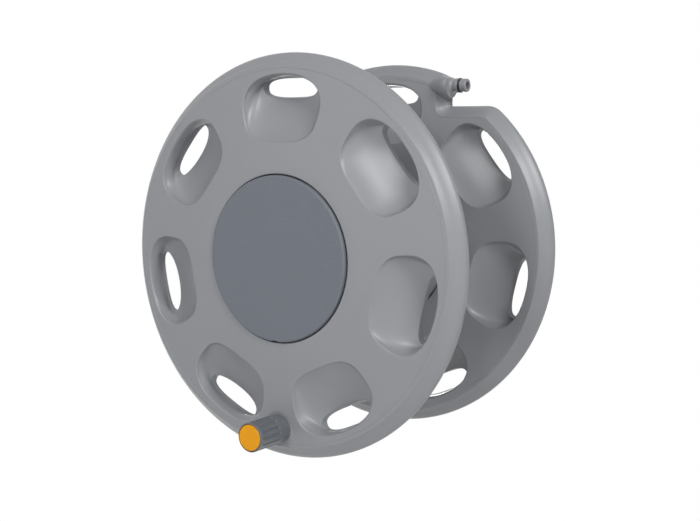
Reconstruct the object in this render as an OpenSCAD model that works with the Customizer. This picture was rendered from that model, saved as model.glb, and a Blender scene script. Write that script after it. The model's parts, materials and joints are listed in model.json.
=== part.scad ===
// Wall mounted hose reel: a fixed rear flange on a wall bracket and a drum that turns in front of it.
// The origin is on the drum axis at the wall. X points right, Y into the wall and Z up.
// Most modules are drawn along the axis, with z as the distance out from the wall. axis_frame turns them.

/* [Flanges] */
// Radius of both flanges at the widest circle of the rim
flange_r = 205; // [200:1:225]
// Height of the flat centre of the face over the widest circle of the rim
face_h = 18; // [15:0.5:21]
// How far the flat centre of the face reaches past the barrel
flat_margin = 12.8; // [10:0.2:16]
// Wall thickness of the moulded flanges
wall = 2.8; // [2.2:0.1:3.4]
// Distance from the rim in to the shoulder edge
shoulder_inset = 12.3; // [10.5:0.1:14]
// Height of the shoulder edge over the widest circle, where the cone of the face ends
shoulder_h = 12.2; // [10.6:0.1:14]
// Distance from the rim in to the outer bead
bead_inset = 4.6; // [3.5:0.1:6]
// Height of the outer bead over the widest circle
bead_h = 5.3; // [4:0.1:7]
// Length of the rim's straight land behind the widest circle
rim_land = 3.3; // [2:0.1:6]
// Depth of the turned-in back edge behind the land
rim_back = 2.7; // [2:0.1:5]
// Distance from the rear flange to the front flange
flange_pitch = 193; // [170:1:230]
// Distance from the wall to the flat centre of the rear flange's face
wall_gap = 43; // [42:0.5:60]
// Thickness of the stiffening ribs behind the flanges
rib_t = 2.4; // [1.8:0.1:4]
// Height of the stiffening ribs behind the flanges
rib_h = 8.4; // [4:0.4:12]

/* [Dishes] */
// Number of scooped dishes round each flange
dish_count = 7; // [5:1:7]
// Distance from the rim in to a dish's outer edge
dish_inset = 21.4; // [20.6:0.2:26]
// Length of a dish along the radius
dish_len = 65.6; // [58:0.2:68]
// Width of a dish across the radius
dish_w = 89.4; // [80:0.2:94]
// Depth of a dish's slot under the widest circle of the rim
dish_depth = 10; // [4:0.5:11]
// Distance from a dish's outer edge to its widest place
dish_belly = 39; // [30:0.5:42]
// Length of the slot at the bottom of a dish
slot_len = 65; // [50:1:70]
// Width of the slot at the bottom of a dish
slot_w = 19; // [14:0.5:24]
// Distance from a dish's outer edge in to the slot
slot_inset = 3.4; // [2:0.2:6]
// Size of the rounded lip round a dish
lip = 1; // [0.7:0.1:1.6]
// Straight depth of the slot's edge
slot_edge = 5; // [2:0.5:6]

/* [Notch and inlet] */
// Distance of the notch's upright edge from the axis
notch_x = 77.5; // [74:0.5:90]
// Height of the notch's level edge over the axis
notch_z = 158; // [155:0.5:168]
// Height of the inlet's axis over the drum axis
inlet_z = 180; // [178:0.5:184]
// Distance of the inlet's axis out from the wall
inlet_out = 33.5; // [32:0.5:36]
// Radius of the inlet boss
boss_r = 14; // [12:0.1:15]
// Length of the inlet boss's pointed start
boss_nose = 22; // [16:0.5:28]
// How far the inlet boss stands out of the notch's upright edge
boss_reach = 3.5; // [2:0.5:8]

/* [Quick-connect ends] */
// Radius of a quick-connect end's tip
tip_r = 7.2; // [7:0.1:7.6]
// Radius of a quick-connect end's ridge
ridge_r = 7.9; // [7.8:0.1:8.2]
// Radius of a quick-connect end's neck
neck_r = 6.3; // [5.5:0.1:6.6]
// Length of a quick-connect end from its collar to its ridge
neck_len = 7.4; // [6.5:0.1:9]
// Length of a quick-connect end's ridge
ridge_len = 3.6; // [2.6:0.1:4.5]
// Length of a quick-connect end's tip past its O-ring
tip_len = 7.2; // [6:0.1:9]
// Radius of the waterway
bore_r = 4; // [3:0.1:4.4]
// Thickness of a quick-connect end's O-ring
ring_t = 2.2; // [2:0.1:2.6]

/* [Drum] */
// Radius of the barrel that the hose winds on
barrel_r = 83; // [81:0.5:85]
// Wall thickness of the barrel
barrel_t = 3; // [2.5:0.1:4.5]
// How far the barrel's end sinks into the rear flange
barrel_sink = 5; // [3:0.5:6]
// Depth of the round recess in the rear flange
hub_recess = 8; // [7:0.5:9]
// Thickness of the drum's two bearing webs
web_t = 3; // [2.5:0.1:5]
// Outer radius of the bearing sleeves
sleeve_r = 20; // [18.5:0.5:24]
// Length of the bearing sleeves
sleeve_len = 26; // [18:1:34]
// Number of screws that hold the front flange to the barrel
drum_screw_count = 6; // [4:1:8]
// How far the pocket in the barrel reaches behind the outlet
pocket_back = 16; // [14:0.5:24]
// Width of the pocket in the barrel for the hose end
pocket_w = 40; // [36:1:50]
// Depth of the pocket's floor under the barrel's surface
pocket_depth = 26; // [24:0.5:30]
// Distance of the outlet out from the rear flange's face
outlet_out = 83; // [70:1:110]

/* [Spindle and seals] */
// Radius of the fixed spindle
spindle_r = 14; // [13:0.1:14.6]
// Radius of the spindle's foot
foot_r = 32; // [30:0.5:34]
// Thickness of the spindle's foot
foot_t = 4; // [3:0.1:5]
// Radial running clearance between spindle and drum
run_fit = 0.08; // [0.04:0.01:0.1]
// Radial thickness of the spindle's seals
seal_t = 2.4; // [2:0.1:3]
// Radius of the swivel manifold
manifold_r = 22; // [20:0.5:25]
// Length of the swivel manifold
manifold_len = 44; // [40:1:56]
// Outer radius of the inner water pipes
pipe_r = 7; // [6:0.1:7.4]

/* [Centre cap] */
// How far the centre cap's edge lies outside the barrel's surface
cap_margin = 0.8; // [0:0.1:1.4]
// Gap round the centre cap
cap_gap = 1.3; // [0.8:0.1:2]
// Height of the centre cap over the flange's face
cap_proud = 3.3; // [2:0.1:4.5]
// Thickness of the centre cap
cap_t = 4.4; // [3.4:0.1:5.2]
// Depth of the recess that holds the centre cap
cap_recess = 9; // [8:0.5:12]
// Distance of the centre cap's three clips from the axis
clip_at = 56; // [48:1:60]
// Width of a clip
clip_w = 12; // [8:0.5:14]
// Thickness of a clip
clip_leg_t = 2.4; // [2:0.1:3]

/* [Winding knob] */
// Radius of the winding knob
knob_r = 14.8; // [14.2:0.1:15.6]
// Length of the winding knob
knob_len = 46; // [40:1:60]
// Distance from the rim in to the knob's axis
knob_inset = 31.4; // [31:0.2:36]
// Number of flutes round the knob
flute_count = 14; // [8:1:16]
// Radius of one flute
flute_r = 1.3; // [0.8:0.1:1.6]
// Radius of the handle pin
pin_r = 5; // [4:0.1:6]
// Height of the flat seat that the knob runs on, over the face at the knob's axis
knob_seat_h = 0.4; // [0.2:0.1:1.4]
// Depth of the handle pin's hold in the flange
pin_sink = 24; // [18:1:30]
// Radius of the yellow end cap
end_cap_r = 13.5; // [12.4:0.1:13.6]

/* [Wall bracket] */
// Width and height of the wall bracket
bracket_w = 176; // [166:1:190]
// Thickness of the wall bracket's plate
bracket_t = 4; // [3:0.1:6]
// Distance between wall screws, across and up
wall_pitch = 150; // [142:1:156]
// Radius of the wall screw holes
wall_hole_r = 3.3; // [2.5:0.1:4.5]
// Distance between the reel's fixing screws, across and up
fix_pitch = 104; // [100:1:110]
// Radius of the bracket's four posts
post_r = 9; // [8:0.1:10]

/* [Hidden] */
$fn = 96;

// Small named clearances
eps = 0.01;
seat = 0.3;
slack = 0.15;
over = 4;

// Places along the axis, out from the wall
rear_face = wall_gap;
rear_rim = rear_face - face_h;
rear_floor = rear_face - hub_recess;
hub_top = rear_floor + 5;
front_face = rear_face + flange_pitch;
front_rim = front_face - face_h;
cap_floor = front_face - cap_recess;
cap_r = barrel_r + cap_margin;
cap_seat_r = cap_r + cap_gap;
cap_block_r = cap_seat_r + wall;
barrel_back = rear_face - barrel_sink;
barrel_front = cap_floor - wall;
barrel_gap = 2;
hub_recess_r = barrel_r + barrel_gap;
hub_block_r = hub_recess_r + wall;
hub_hole_r = foot_r + 4;

// The face is flat out to flat_r and then a shallow cone down to the shoulder
flat_r = barrel_r + flat_margin;
face_slope = (face_h - shoulder_h) / (flange_r - shoulder_inset - flat_r);
function face_at(r) = face_h - face_slope * max(0, r - flat_r);

// Places round the dishes
pitch_deg = 360 / dish_count;
dish_out = flange_r - dish_inset;
dish_in = dish_out - dish_len;
dish_mid = dish_out - dish_belly;
slot_out = dish_out - slot_inset;
slot_mid = slot_out - slot_w / 2;
dish_steps = 28;
waist_blend = 0.46;
waist_h = (face_at(dish_mid) - dish_depth) / 2;

// Fasteners
screw_r = 2;
head_r = 4;
head_h = 2.4;
drum_boss_r = 7;
drum_screw_at = barrel_r - drum_boss_r - 0.5;
drum_screw_len = 16;
fix_screw_len = 22;
foot_screw_at = spindle_r + 10;

// Spindle, washers and seals
washer_t = 1.4;
clip_t = 1.2;
clip_bite = 1.6;
foot_top = rear_floor - wall;
foot_back = foot_top - foot_t;
tail_back = foot_back - 6;
rear_sleeve_back = hub_top + washer_t + seat;
front_sleeve_end = barrel_front - 2;
clip_back = front_sleeve_end + washer_t + 2 * seat;
spindle_end = clip_back + clip_t + 2;
outlet_z = rear_face + outlet_out;
seal_off = manifold_len / 2 - 7;
sleeve_bore = spindle_r + run_fit;
spindle_bore_r = 6.5;

// Feed line behind the rear flange
boss_end = notch_x + boss_reach;
boss_start = boss_end - boss_nose;
boss_tail = 11;
nipple_tail_r = ridge_r - 1 - slack;
feed_top = [boss_end - 16, inlet_z, inlet_out - 8];
feed_hub = [0, 0, foot_back - 12];
feed_dir = feed_top - feed_hub;
feed_len = norm(feed_dir);
feed_turn = atan2(feed_dir[1], feed_dir[0]);
feed_tilt = acos(feed_dir[2] / feed_len);
socket_r = pipe_r + 2.6;
socket_len = 16;
elbow_r = spindle_r + 3.5;
elbow_back = feed_hub[2] - socket_r + 0.6;
elbow_front = foot_back - seat;
elbow_reach = elbow_r + 11;
chamber_r = spindle_r - 2.5;

// Outlet in the barrel's pocket
pocket_floor = barrel_r - pocket_depth;
outlet_body_r = 9.6;
outlet_axis = pocket_floor + 3 + outlet_body_r;
outlet_top = outlet_axis + 7;
link_low = manifold_r + 3;
link_top = pocket_floor + 8;
stub_top = manifold_r + 11;

// Quick-connect ends, along their axis from the collar
collar_len = 1.2;
ring_gap = 0.2;
groove_low = neck_len + ridge_len;
groove_top = groove_low + ring_t + 2 * ring_gap;
ring_at = groove_low + ring_gap + ring_t / 2;
groove_r = ridge_r - ring_t + 0.1;
qc_len = groove_top + tip_len;

// Centre cap
clip_tooth = 1.4;
clip_hook = 2.5;
cap_round = 2.2;
thumb_r = 6;

// Winding knob
knob_at = flange_r - knob_inset;
knob_seat = front_rim + face_at(knob_at) + knob_seat_h;
knob_base = knob_seat + seat;
knob_top = knob_base + knob_len;
pin_back = knob_seat - pin_sink;
knob_cup = 13;
web_top = knob_top - knob_cup;
pin_top = web_top + seat;
counter_r = 9;
end_cap_t = 2.4;
end_recess = 1.5;
boss_wall = 5;
knob_seat_w = 1.6;

// Wall bracket
post_top = foot_top;
bracket_rib_h = 6;
wall_boss_r = 8;

// Turns a piece drawn along its z into the reel's frame, where the wall is the plane y = 0
module axis_frame() {
    rotate([90, 0, 0]) children();
}

module tube(r_out, r_in, z0, z1) {
    difference() {
        translate([0, 0, z0]) cylinder(r = r_out, h = z1 - z0);
        translate([0, 0, z0 - 1]) cylinder(r = r_in, h = z1 - z0 + 2);
    }
}

module ring_torus(r_mid, r_tube, z) {
    translate([0, 0, z]) rotate_extrude() translate([r_mid, 0]) circle(r = r_tube, $fn = 32);
}

// Four copies at the corners of a square
module square_of(pitch) {
    for (sx = [-1, 1], sy = [-1, 1]) translate([sx * pitch / 2, sy * pitch / 2, 0]) children();
}

module ring_of(count, r, phase = 0) {
    for (k = [0 : count - 1]) rotate(phase + k * 360 / count) translate([r, 0, 0]) children();
}

// Pan-head screw along z, with its head's seat at top and its shank of radius r below
module pan_screw(top, length, r) {
    translate([0, 0, top - length]) cylinder(r = r, h = length + eps);
    translate([0, 0, top]) cylinder(r1 = head_r, r2 = head_r * 0.75, h = head_h);
}

// Outline functions: a superellipse with its own exponent, in half sizes a and b
function power(v, n) = sign(v) * pow(abs(v), 2 / n);

// Rim under the shoulder, out and down: [distance in from the rim, height over the widest circle]
rim_edge = [
    [(shoulder_inset + bead_inset) / 2 + 0.3, (shoulder_h + bead_h) / 2 - 0.4],
    [bead_inset, bead_h],
    [bead_inset * 0.3, bead_h * 0.4],
    [0, 0],
    [0, -rim_land],
    [rim_back * 0.7, -rim_land - rim_back]
];
rim_section = concat([[flange_r - flat_r, face_h], [shoulder_inset, shoulder_h]], rim_edge);

// Along the notch the same edge runs on up through the cone of the face
notch_steep = 1.3;
notch_rise = (face_h + over - rim_edge[0][1]) / notch_steep;
notch_section = concat([[rim_edge[0][0] + notch_rise, face_h + over]], rim_edge);

// Points moved in from a line by w, each along the mean of its two neighbours' normals
function unit(v) = v / norm(v);
function left_of(a, b) = let (d = unit(b - a)) [-d[1], d[0]];
function inset_points(p, w) = [
    for (i = [0 : len(p) - 1])
        let (
            n1 = left_of(p[max(i - 1, 0)], p[max(i, 1)]),
            n2 = left_of(p[min(i, len(p) - 2)], p[min(i + 1, len(p) - 1)])
        )
        p[i] + w * (n1 + n2) / (1 + n1 * n2)
];

// The rim section as radius and height, moved in by w
function rim_points(w) = [for (q = inset_points(rim_section, w)) [flange_r - q[0], q[1]]];

// Solid under the flange's skin, moved in by w, with its bottom at z = low
module skin_solid(w, low) {
    rim = rim_points(w);
    last = rim[len(rim) - 1];
    rotate_extrude($fn = 180) polygon(concat([[0, low]], [[0, face_h - w]], rim, [[last[0], low]]));
}

// What the notch takes away: the rim section follows its two edges and turns round its inner corner
module notch_cutter(w, low) {
    section = inset_points(notch_section, w);
    last = section[len(section) - 1];
    top = face_h + 2 * over;
    open = concat(section, [[last[0], low], [-flange_r, low], [-flange_r, top], [section[0][0], top]]);
    corner = concat(section, [[last[0], low], [0, low], [0, top], [section[0][0], top]]);
    translate([notch_x, notch_z, 0]) {
        translate([0, flange_r, 0]) rotate([90, 0, 0]) mirror([1, 0, 0])
            linear_extrude(flange_r) polygon(open);
        rotate([90, 0, 90]) mirror([1, 0, 0])
            linear_extrude(flange_r) polygon(open);
        rotate(180) rotate_extrude(angle = 90, $fn = 96) polygon(corner);
    }
}

// A dish's opening and its slot at angle t, grown by g
function opening_point(t, g) =
    let (
        n = sin(t) > 0 ? 2.7 : 2.6,
        half_deg = (dish_w / 2 + g) / dish_mid * 180 / PI,
        reach = sin(t) > 0 ? dish_out - dish_mid + g : dish_mid - dish_in + g,
        r = dish_mid + reach * power(sin(t), n),
        a = half_deg * power(cos(t), n)
    )
    [r * sin(a), r * cos(a)];
function slot_point(t, g) = [
    (slot_len / 2 + g) * power(cos(t), 2.8),
    slot_mid + (slot_w / 2 + g) * power(sin(t), 2.8)
];
function ring_angle(i) = (i + 0.5) * 360 / dish_steps;

// Level ring at height z: the opening's outline at blend 0, the slot's at blend 1
function dish_ring(blend, g, z) = [
    for (i = [0 : dish_steps - 1])
        let (
            t = ring_angle(i),
            p = (1 - blend) * opening_point(t, g) + blend * slot_point(t, g)
        )
        [p[0], p[1], z]
];

// Ring of the opening that follows the cone of the face, raised by z
function face_ring(g, z) = [
    for (i = [0 : dish_steps - 1])
        let (p = opening_point(ring_angle(i), g))
        [p[0], p[1], face_at(norm(p)) + z]
];

// Closed solid through rings of equal counts, the first ring on top
module loft(rings) {
    n = len(rings[0]);
    m = len(rings);
    sides = [
        for (k = [0 : m - 2], i = [0 : n - 1])
            let (j = (i + 1) % n, a = k * n + i, b = k * n + j, c = a + n, d = b + n)
            each [[a, b, c], [b, d, c]]
    ];
    caps = [[for (i = [n - 1 : -1 : 0]) i], [for (i = [0 : n - 1]) (m - 1) * n + i]];
    polyhedron(points = [for (ring = rings) each ring], faces = concat(caps, sides));
}

// The hollow of a dish, from over the face down through the slot
module dish_hollow() {
    loft([
        dish_ring(0, 2 * lip, face_h + over),
        face_ring(2 * lip, lip),
        face_ring(0, -lip),
        dish_ring(waist_blend, 0, waist_h),
        dish_ring(1, 0, slot_edge - dish_depth),
        dish_ring(1, 0, -dish_depth - over)
    ]);
}

// The moulded wall round a dish, solid inside until the hollow is taken out of it
module dish_wall() {
    loft([
        dish_ring(0, -8, face_at(dish_out) - wall),
        face_ring(wall, -wall / 2),
        dish_ring(waist_blend, wall, waist_h - wall / 2),
        dish_ring(1, wall, -dish_depth)
    ]);
}

// Flange in its own frame: z = 0 at the widest circle, the face towards +z
module flange_shell(notched) {
    difference() {
        union() {
            difference() {
                difference() {
                    skin_solid(0, -rim_land - rim_back);
                    if (notched) notch_cutter(0, -rim_land - rim_back - over);
                }
                difference() {
                    skin_solid(wall, -rim_land - rim_back - over);
                    if (notched) notch_cutter(wall, -rim_land - rim_back - 2 * over);
                }
            }
            for (k = [0 : dish_count - 1]) rotate(-k * pitch_deg) dish_wall();
            children();
        }
        for (k = [0 : dish_count - 1]) rotate(-k * pitch_deg) dish_hollow();
    }
}

// Round space inside the rim that the inlet's boss and collar keep to
module rim_trim() {
    cylinder(r = flange_r - 0.4, h = inlet_out + 2 * boss_r, $fn = 180);
}

// Body of the inlet behind the notch's upright edge, with the socket for the feed pipe
module inlet_boss() {
    intersection() {
        translate([boss_start, inlet_z, inlet_out]) rotate([0, 90, 0]) {
            cylinder(r1 = boss_r * 0.4, r2 = boss_r, h = boss_nose * 0.72);
            translate([0, 0, boss_nose * 0.72]) cylinder(r = boss_r, h = boss_nose * 0.28);
        }
        rim_trim();
    }
    translate([feed_top[0], inlet_z, feed_top[2] - socket_r]) cylinder(r = socket_r, h = socket_r + 7);
    along_feed() translate([0, 0, feed_len - socket_len]) cylinder(r = socket_r, h = socket_len);
}

module inlet_bores() {
    start = feed_top[0] - bore_r;
    translate([start, inlet_z, inlet_out]) rotate([0, 90, 0])
        cylinder(r = bore_r, h = boss_end - start + over);
    translate([boss_end - boss_tail - seat, inlet_z, inlet_out]) rotate([0, 90, 0])
        cylinder(r = nipple_tail_r + slack, h = boss_tail + seat + over);
    translate([feed_top[0], inlet_z, feed_top[2]]) cylinder(r = bore_r * 0.8, h = inlet_out - feed_top[2]);
    along_feed() {
        translate([0, 0, feed_len - socket_len - 1]) cylinder(r = pipe_r + slack, h = socket_len - 4);
        translate([0, 0, feed_len - socket_len]) cylinder(r = bore_r, h = socket_len + bore_r + 0.5);
    }
}

// Turns a piece drawn along its z onto the feed line, from the hub to the inlet
module along_feed() {
    translate(feed_hub) rotate([0, 0, feed_turn]) rotate([0, feed_tilt, 0]) children();
}

// Stiffening ribs between the dishes, in the flange's own frame
module flange_ribs(first) {
    far = flange_r - shoulder_inset - 4;
    for (k = [first : dish_count - 1]) rotate(90 - (k + 0.5) * pitch_deg)
        translate([0, rib_t / 2, 0]) rotate([90, 0, 0]) linear_extrude(rib_t) polygon([
            [hub_recess_r, face_h - wall - rib_h], [far, face_at(far) - wall - rib_h],
            [far, face_at(far) - wall / 2], [hub_recess_r, face_h - wall / 2]
        ]);
}

module rear_flange() {
    color("#9a9ca0") axis_frame() difference() {
        union() {
            translate([0, 0, rear_rim]) flange_shell(true) flange_ribs(1);
            translate([0, 0, foot_top]) cylinder(r = hub_block_r, h = rear_face - foot_top);
            inlet_boss();
        }
        difference() {
            translate([0, 0, rear_floor]) cylinder(r = hub_recess_r, h = hub_recess + over);
            translate([0, 0, rear_floor - 1]) cylinder(r = foot_r, h = hub_top - rear_floor + 1);
        }
        cylinder(r = spindle_r + slack, h = rear_face + over);
        rotate(feed_turn) ring_of(4, foot_screw_at, 45) cylinder(r = screw_r + slack, h = hub_top - 1);
        square_of(fix_pitch) cylinder(r = screw_r + slack, h = rear_face);
        inlet_bores();
    }
}

module wall_bracket() {
    half = bracket_w / 2;
    corner = 14;
    color("#6d7074") axis_frame() difference() {
        union() {
            linear_extrude(bracket_t) rounded_square(bracket_w, corner);
            linear_extrude(bracket_t + bracket_rib_h - 2) difference() {
                rounded_square(bracket_w, corner);
                rounded_square(bracket_w - 2 * wall, corner - wall);
            }
            square_of(fix_pitch) cylinder(r = post_r, h = post_top);
            square_of(wall_pitch) cylinder(r = wall_boss_r, h = bracket_t + 2);
            for (turn = [0 : 90 : 270]) rotate(turn)
                translate([fix_pitch / 2 - wall / 2, -half + wall / 2, 0])
                    cube([wall, bracket_w - wall, bracket_t + bracket_rib_h]);
        }
        square_of(wall_pitch) translate([0, 0, -1]) cylinder(r = wall_hole_r, h = bracket_t + 4);
        square_of(fix_pitch) translate([0, 0, post_top - fix_screw_len])
            cylinder(r = screw_r, h = fix_screw_len + 1);
        translate([0, 0, -1]) cylinder(r = elbow_r + 8, h = bracket_t + 2);
    }
}

module rounded_square(w, r) {
    square([w, w - 2 * r], center = true);
    square([w - 2 * r, w], center = true);
    square_of(w - 2 * r) circle(r = r);
}

module bracket_screws() {
    color("#b8bbbf") axis_frame() square_of(fix_pitch)
        pan_screw(rear_floor, fix_screw_len - 2 + rear_floor - post_top, screw_r - seat / 2);
}

module spindle() {
    color("#84878b") axis_frame() difference() {
        union() {
            translate([0, 0, tail_back]) cylinder(r = spindle_r, h = spindle_end - tail_back);
            translate([0, 0, foot_back]) cylinder(r = foot_r, h = foot_t);
        }
        translate([0, 0, tail_back - 1]) cylinder(r = spindle_bore_r, h = outlet_z - tail_back + 10);
        for (turn = [0, 90]) translate([0, 0, outlet_z]) rotate([0, 90, turn])
            cylinder(r = bore_r, h = 2 * spindle_r + 2, center = true);
        for (side = [-1, 1]) translate([0, 0, outlet_z + side * seal_off])
            tube(spindle_r + 1, spindle_r - seal_t, -seal_t / 2 - slack, seal_t / 2 + slack);
        tube(spindle_r + 1, spindle_r - clip_bite, clip_back, clip_back + clip_t);
        rotate(feed_turn) ring_of(4, foot_screw_at, 45) cylinder(r = screw_r + slack, h = foot_top + 1);
    }
}

module spindle_screws() {
    color("#b8bbbf") axis_frame() rotate(feed_turn) ring_of(4, foot_screw_at, 45)
        translate([0, 0, foot_back]) mirror([0, 0, 1]) pan_screw(0, hub_top - 2 - foot_back, screw_r);
}

module spindle_seals() {
    color("#202224") axis_frame() for (side = [-1, 1])
        ring_torus(spindle_r - seal_t / 2 + run_fit / 2, seal_t / 2, outlet_z + side * seal_off);
}

module feed_elbow() {
    color("#55585c") axis_frame() difference() {
        union() {
            translate([0, 0, elbow_back]) cylinder(r = elbow_r, h = elbow_front - elbow_back);
            along_feed() cylinder(r = socket_r, h = elbow_reach);
        }
        translate([0, 0, elbow_back + wall]) cylinder(r = chamber_r, h = elbow_front);
        translate([0, 0, tail_back - slack]) cylinder(r = spindle_r + slack, h = elbow_front);
        along_feed() {
            cylinder(r = bore_r, h = elbow_reach + 1);
            translate([0, 0, elbow_r + 1]) cylinder(r = pipe_r + slack, h = elbow_reach);
        }
    }
}

module feed_pipe() {
    color("#303235") axis_frame() along_feed()
        tube(pipe_r, bore_r, elbow_r + 1 + seat, feed_len - 5 - seat);
}

// Male quick-connect end along +z from its collar: neck, ridge, ring groove and tip
module quick_connect() {
    rotate_extrude() polygon([
        [0, 0], [neck_r, 0], [neck_r, neck_len - (ridge_r - neck_r)],
        [ridge_r - 0.3, neck_len - 0.2], [ridge_r, neck_len + 0.3],
        [ridge_r, groove_low - 0.4], [ridge_r - 0.3, groove_low], [groove_r, groove_low],
        [groove_r, groove_top], [tip_r, groove_top],
        [tip_r, qc_len - 1.2], [tip_r - 0.4, qc_len - 0.4], [tip_r - 1.2, qc_len], [0, qc_len]
    ]);
}

// Collar of radius base_r that runs into the neck in a hollow curve
module quick_collar(base_r) {
    top_r = base_r - 0.6;
    flare = 0.7 * (neck_len - collar_len);
    rotate_extrude() polygon([
        [0, 0], [base_r, 0], [base_r, collar_len * 0.6], [top_r, collar_len],
        for (a = [15 : 15 : 90]) [top_r - (top_r - neck_r) * sin(a), collar_len + flare * (1 - cos(a))],
        [0, collar_len + flare]
    ]);
}

module quick_ring() {
    ring_torus(groove_r + ring_t / 2 + 0.05, ring_t / 2, ring_at);
}

module at_inlet() {
    translate([boss_end, inlet_z, inlet_out]) rotate([0, 90, 0]) children();
}

// The collar is trimmed at the rim like the boss that it sits on
module inlet_nipple() {
    color("#9a9ca0") axis_frame() difference() {
        union() {
            intersection() {
                at_inlet() translate([0, 0, seat]) quick_collar(boss_r - 0.4);
                rim_trim();
            }
            at_inlet() translate([0, 0, seat]) quick_connect();
            at_inlet() translate([0, 0, -boss_tail]) cylinder(r = nipple_tail_r, h = boss_tail + seat);
        }
        at_inlet() translate([0, 0, -boss_tail - 1]) cylinder(r = bore_r, h = boss_tail + qc_len + over);
    }
}

module inlet_o_ring() {
    color("#151617") axis_frame() at_inlet() translate([0, 0, seat]) quick_ring();
}

module thrust_washer() {
    color("#e4e2da") axis_frame() tube(sleeve_r, spindle_r + slack, hub_top, hub_top + washer_t);
}

module front_washer() {
    color("#c9ccd0") axis_frame()
        tube(sleeve_r, spindle_r + slack, front_sleeve_end + seat, front_sleeve_end + seat + washer_t);
}

// Spring clip: an open ring in the spindle's groove
module spring_clip() {
    color("#3a3c3f") axis_frame() difference() {
        tube(spindle_r + 3, spindle_r - clip_bite + slack,
            clip_back + slack / 2, clip_back + clip_t - slack / 2);
        translate([0, -5, clip_back - 1]) cube([spindle_r + over, 10, clip_t + 2]);
    }
}

module at_knob() {
    translate([0, -knob_at, 0]) children();
}

module front_flange() {
    color("#9a9ca0") axis_frame() difference() {
        union() {
            translate([0, 0, front_rim]) flange_shell(false) flange_ribs(0);
            translate([0, 0, barrel_front]) cylinder(r = cap_block_r, h = front_face - barrel_front);
            at_knob() translate([0, 0, pin_back]) cylinder(r = pin_r + boss_wall, h = pin_sink - 1);
            at_knob() translate([0, 0, knob_seat - 4]) cylinder(r = knob_r + knob_seat_w, h = 4);
        }
        at_knob() translate([0, 0, knob_seat]) cylinder(r = knob_r + knob_seat_w, h = over);
        translate([0, 0, cap_floor]) cylinder(r = cap_seat_r, h = cap_recess + over);
        translate([0, 0, barrel_front - 1]) cylinder(r = hub_hole_r, h = wall + 2);
        ring_of(drum_screw_count, drum_screw_at, 30)
            translate([0, 0, barrel_front - 1]) cylinder(r = screw_r + slack, h = wall + 2);
        ring_of(3, clip_at, 90) clip_slot();
        at_knob() translate([0, 0, pin_back - 1]) cylinder(r = pin_r, h = pin_sink + 2);
    }
}

// Slot for one of the centre cap's clips, with room for its tooth
module clip_slot() {
    translate([-slack - clip_tooth, -clip_w / 2 - slack, barrel_front - 1])
        cube([clip_leg_t + clip_tooth + 2 * slack, clip_w + 2 * slack, wall + 2]);
}

module centre_cap() {
    top = front_face + cap_proud;
    under = top - cap_t;
    color("#6c7075") axis_frame() difference() {
        union() {
            rotate_extrude($fn = 180) {
                polygon([
                    [0, under], [cap_r, under], [cap_r, top - cap_round],
                    for (a = [15 : 15 : 90])
                        [cap_r - cap_round * (1 - cos(a)), top - cap_round * (1 - sin(a))],
                    [0, top]
                ]);
            }
            tube(clip_at + 10, clip_at + 10 - wall, cap_floor, under + 0.5);
            ring_of(3, clip_at, 90) translate([0, -clip_w / 2, barrel_front - clip_hook]) {
                cube([clip_leg_t, clip_w, under - barrel_front + clip_hook + 0.5]);
                translate([slack - clip_tooth, 0, 0]) cube([clip_tooth, clip_w, clip_hook - seat]);
            }
        }
        translate([0, -cap_r - thumb_r / 2, under - 1]) cylinder(r = thumb_r, h = cap_t + 2);
    }
}

// A block of the barrel round the pocket, and the pocket itself
module pocket_box(grow) {
    translate([-pocket_back - grow, pocket_floor - grow, outlet_z - pocket_w / 2 - grow])
        cube([barrel_r + pocket_back + 2 * grow, barrel_r, pocket_w + 2 * grow]);
}

module drum_barrel() {
    color("#8b8e92") axis_frame() difference() {
        union() {
            tube(barrel_r, barrel_r - barrel_t, barrel_back, barrel_front);
            ring_of(drum_screw_count, drum_screw_at, 30)
                translate([0, 0, barrel_front - drum_screw_len])
                    cylinder(r = drum_boss_r, h = drum_screw_len - slack);
        }
        pocket_box(barrel_t + slack);
        ring_of(drum_screw_count, drum_screw_at, 30)
            translate([0, 0, barrel_front - drum_screw_len + 2]) cylinder(r = screw_r, h = drum_screw_len);
    }
}

// Two discs inside the barrel's ends, each with a sleeve that turns on the spindle
module bearing_webs() {
    web_off = (sleeve_len - web_t) / 2;
    color("#7c7f83") axis_frame() for (low = [rear_sleeve_back, front_sleeve_end - sleeve_len]) difference() {
        union() {
            translate([0, 0, low + web_off]) cylinder(r = barrel_r - barrel_t - slack, h = web_t);
            translate([0, 0, low]) cylinder(r = sleeve_r, h = sleeve_len);
        }
        translate([0, 0, low - 1]) cylinder(r = sleeve_bore, h = sleeve_len + 2);
        ring_of(drum_screw_count, drum_screw_at, 30)
            translate([0, 0, low]) cylinder(r = drum_boss_r + slack, h = sleeve_len);
    }
}

// Tray set into the barrel's window: the floor and walls of the pocket that holds the outlet
module outlet_tray() {
    color("#7c7f83") axis_frame() difference() {
        intersection() {
            pocket_box(barrel_t);
            cylinder(r = barrel_r, h = barrel_front);
        }
        pocket_box(0);
        translate([0, 0, outlet_z]) rotate([-90, 0, 0]) cylinder(r = pipe_r + slack, h = barrel_r);
    }
}

module drum_screws() {
    color("#b8bbbf") axis_frame() ring_of(drum_screw_count, drum_screw_at, 30)
        pan_screw(cap_floor, drum_screw_len - 4 + wall, screw_r - seat / 2);
}

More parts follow.
